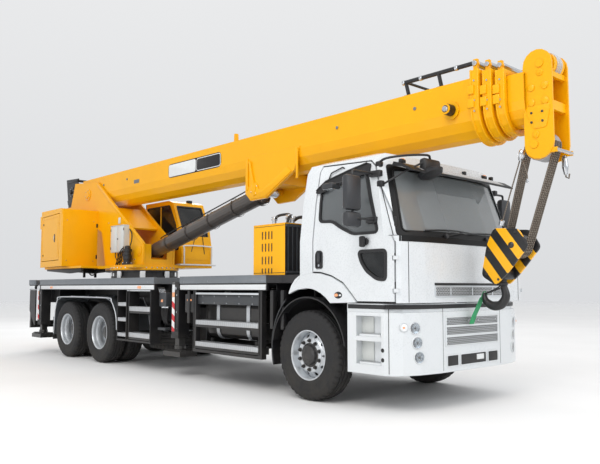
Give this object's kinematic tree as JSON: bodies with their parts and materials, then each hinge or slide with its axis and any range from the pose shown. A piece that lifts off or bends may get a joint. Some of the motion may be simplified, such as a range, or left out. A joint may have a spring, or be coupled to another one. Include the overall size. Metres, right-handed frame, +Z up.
{
  "type": "truck-mounted telescopic crane",
  "caption": "Three-axle truck crane with a white driving cab, folded stabilisers, slewing turret with operator cab, and a telescopic boom carrying a hook block.",
  "frame": {"origin": "on the ground below the middle of the whole machine", "axes": "+X forward along the truck, +Y to its left, +Z up"},
  "size_m": [11.83, 3.24, 3.86],
  "materials": {
    "crane_yellow": "satin",
    "cab_white": "gloss",
    "frame_black": "satin",
    "galvanised": "satin",
    "chequer_plate": "satin",
    "dark_steel": "satin",
    "wheel": "matte",
    "rubber": "matte",
    "trim_grey": "matte",
    "glass": "gloss",
    "panel_grey": "satin",
    "green_webbing": "matte",
    "seat": "matte"
  },
  "bodies": {
    "carrier": {"chassis_frame": "frame_black", "engine_block": "dark_steel", "front_axle": "frame_black", "middle_axle": "frame_black", "rear_axle": "frame_black", "bogie_suspension": "frame_black", "crane_subframe": "frame_black", "rear_deck": "chequer_plate", "front_deck": "chequer_plate", "fuel_tank": "dark_steel", "battery_box": "dark_steel", "spare_wheel": "rubber", "oil_tank": "crane_yellow", "cab_shell": "cab_white", "windshield": "glass", "bumper": "cab_white", "dashboard": "trim_grey", "cab_seats": "seat", "rear_bumper": "frame_black", "rear_mudguard_right": "galvanised", "rear_mudguard_left": "galvanised", "front_mudguard_right": "trim_grey", "front_mudguard_left": "trim_grey"},
    "knuckle_right": {"knuckle_right": "dark_steel"},
    "front_wheel_right": {"front_wheel_right": "wheel"},
    "middle_wheels_right": {"middle_wheels_right": "wheel"},
    "rear_wheels_right": {"rear_wheels_right": "wheel"},
    "door_right": {"door_right": "cab_white"},
    "knuckle_left": {"knuckle_left": "dark_steel"},
    "front_wheel_left": {"front_wheel_left": "wheel"},
    "middle_wheels_left": {"middle_wheels_left": "wheel"},
    "rear_wheels_left": {"rear_wheels_left": "wheel"},
    "door_left": {"door_left": "cab_white"},
    "front_outrigger_beam_right": {"front_outrigger_beam_right": "frame_black"},
    "front_outrigger_jack_right": {"front_outrigger_jack_right": "dark_steel"},
    "front_outrigger_beam_left": {"front_outrigger_beam_left": "frame_black"},
    "front_outrigger_jack_left": {"front_outrigger_jack_left": "dark_steel"},
    "rear_outrigger_beam_right": {"rear_outrigger_beam_right": "frame_black"},
    "rear_outrigger_jack_right": {"rear_outrigger_jack_right": "dark_steel"},
    "rear_outrigger_beam_left": {"rear_outrigger_beam_left": "frame_black"},
    "rear_outrigger_jack_left": {"rear_outrigger_jack_left": "dark_steel"},
    "superstructure": {"turret_frame": "crane_yellow", "tail_cabinet": "crane_yellow", "counterweight": "crane_yellow", "operator_cab": "crane_yellow", "operator_seat": "seat", "winch": "frame_black", "electrical_box": "panel_grey"},
    "tail_cabinet_door": {"tail_cabinet_door": "crane_yellow"},
    "operator_cab_door": {"operator_cab_door": "crane_yellow"},
    "boom_base": {"boom_base": "crane_yellow"},
    "boom_section_2": {"boom_section_2": "crane_yellow"},
    "boom_section_3": {"boom_section_3": "crane_yellow"},
    "boom_head": {"boom_head": "crane_yellow"},
    "hook": {"hook_block": "crane_yellow", "hoist_ropes": "dark_steel", "tie_down_strap": "green_webbing"},
    "lift_cylinder": {"lift_cylinder": "dark_steel"},
    "lift_cylinder_rod": {"lift_cylinder_rod": "galvanised"}
  },
  "joints": [
    {"name": "steer_right", "type": "hinge", "parent": "carrier", "child": "knuckle_right", "pos_m": [3.315, -0.93, 0.525], "axis": [0, 0, 1], "range_deg": [-35, 35]},
    {"name": "front_wheel_spin_right", "type": "hinge", "parent": "knuckle_right", "child": "front_wheel_right", "pos_m": [3.315, -1.075, 0.525], "axis": [0, 1, 0], "continuous": true},
    {"name": "middle_wheels_spin_right", "type": "hinge", "parent": "carrier", "child": "middle_wheels_right", "pos_m": [-2.085, -0.8875, 0.525], "axis": [0, 1, 0], "continuous": true},
    {"name": "rear_wheels_spin_right", "type": "hinge", "parent": "carrier", "child": "rear_wheels_right", "pos_m": [-3.435, -0.8875, 0.525], "axis": [0, 1, 0], "continuous": true},
    {"name": "door_hinge_right", "type": "hinge", "parent": "carrier", "child": "door_right", "pos_m": [4.643, -1.23, 1.5], "axis": [0, 0, 1], "range_deg": [0, 70]},
    {"name": "steer_left", "type": "hinge", "parent": "carrier", "child": "knuckle_left", "pos_m": [3.315, 0.93, 0.525], "axis": [0, 0, 1], "range_deg": [-35, 35]},
    {"name": "front_wheel_spin_left", "type": "hinge", "parent": "knuckle_left", "child": "front_wheel_left", "pos_m": [3.315, 1.075, 0.525], "axis": [0, 1, 0], "continuous": true},
    {"name": "middle_wheels_spin_left", "type": "hinge", "parent": "carrier", "child": "middle_wheels_left", "pos_m": [-2.085, 0.8875, 0.525], "axis": [0, 1, 0], "continuous": true},
    {"name": "rear_wheels_spin_left", "type": "hinge", "parent": "carrier", "child": "rear_wheels_left", "pos_m": [-3.435, 0.8875, 0.525], "axis": [0, 1, 0], "continuous": true},
    {"name": "door_hinge_left", "type": "hinge", "parent": "carrier", "child": "door_left", "pos_m": [4.643, 1.23, 1.5], "axis": [0, 0, -1], "range_deg": [0, 70]},
    {"name": "front_beam_slide_right", "type": "slide", "parent": "carrier", "child": "front_outrigger_beam_right", "axis": [0, -1, 0], "range_m": [0, 1.5]},
    {"name": "front_jack_slide_right", "type": "slide", "parent": "front_outrigger_beam_right", "child": "front_outrigger_jack_right", "axis": [0, 0, -1], "range_m": [0, 0.55]},
    {"name": "front_beam_slide_left", "type": "slide", "parent": "carrier", "child": "front_outrigger_beam_left", "axis": [0, 1, 0], "range_m": [0, 1.5]},
    {"name": "front_jack_slide_left", "type": "slide", "parent": "front_outrigger_beam_left", "child": "front_outrigger_jack_left", "axis": [0, 0, -1], "range_m": [0, 0.55]},
    {"name": "rear_beam_slide_right", "type": "slide", "parent": "carrier", "child": "rear_outrigger_beam_right", "axis": [0, -1, 0], "range_m": [0, 1.5]},
    {"name": "rear_jack_slide_right", "type": "slide", "parent": "rear_outrigger_beam_right", "child": "rear_outrigger_jack_right", "axis": [0, 0, -1], "range_m": [0, 0.55]},
    {"name": "rear_beam_slide_left", "type": "slide", "parent": "carrier", "child": "rear_outrigger_beam_left", "axis": [0, 1, 0], "range_m": [0, 1.5]},
    {"name": "rear_jack_slide_left", "type": "slide", "parent": "rear_outrigger_beam_left", "child": "rear_outrigger_jack_left", "axis": [0, 0, -1], "range_m": [0, 0.55]},
    {"name": "slew", "type": "hinge", "parent": "carrier", "child": "superstructure", "pos_m": [-2.635, 0, 1.64], "axis": [0, 0, 1], "continuous": true},
    {"name": "tail_cabinet_door_hinge", "type": "hinge", "parent": "superstructure", "child": "tail_cabinet_door", "pos_m": [-4.2408, -1.0576, 2.35], "axis": [0, 0, 1], "range_deg": [0, 100]},
    {"name": "operator_cab_door_hinge", "type": "hinge", "parent": "superstructure", "child": "operator_cab_door", "pos_m": [-3.405, 1.188, 2.4], "axis": [0, 0, 1], "range_deg": [0, 100]},
    {"name": "luff", "type": "hinge", "parent": "superstructure", "child": "boom_base", "pos_m": [-4.535, 0, 3.3], "axis": [0, -1, 0], "range_deg": [0, 70]},
    {"name": "telescope_1", "type": "slide", "parent": "boom_base", "child": "boom_section_2", "axis": [1, 0, 0], "range_m": [0, 7.2]},
    {"name": "telescope_2", "type": "slide", "parent": "boom_section_2", "child": "boom_section_3", "axis": [1, 0, 0], "range_m": [0, 7.2]},
    {"name": "telescope_3", "type": "slide", "parent": "boom_section_3", "child": "boom_head", "axis": [1, 0, 0], "range_m": [0, 7.2]},
    {"name": "hook_swing", "type": "hinge", "parent": "boom_head", "child": "hook", "pos_m": [5.675, 0, 2.8], "axis": [0, -1, 0], "range_deg": [-51, 0]},
    {"name": "cylinder_tilt", "type": "hinge", "parent": "superstructure", "child": "lift_cylinder", "pos_m": [-2.285, 0, 2.01], "axis": [0, -1, 0], "range_deg": [0, 75.58]},
    {"name": "cylinder_rod_slide", "type": "slide", "parent": "lift_cylinder", "child": "lift_cylinder_rod", "axis": [0.9742, 0, 0.2259], "range_m": [0, 2.9411]}
  ],
  "couplings": [
    {"joint": "steer_left", "follows": "steer_right", "ratio": 1},
    {"joint": "hook_swing", "follows": "luff", "ratio": -0.72},
    {"joint": "cylinder_tilt", "follows": "luff", "ratio": 1.079},
    {"joint": "cylinder_rod_slide", "follows": "luff", "m_per_rad": 2.4057}
  ]
}
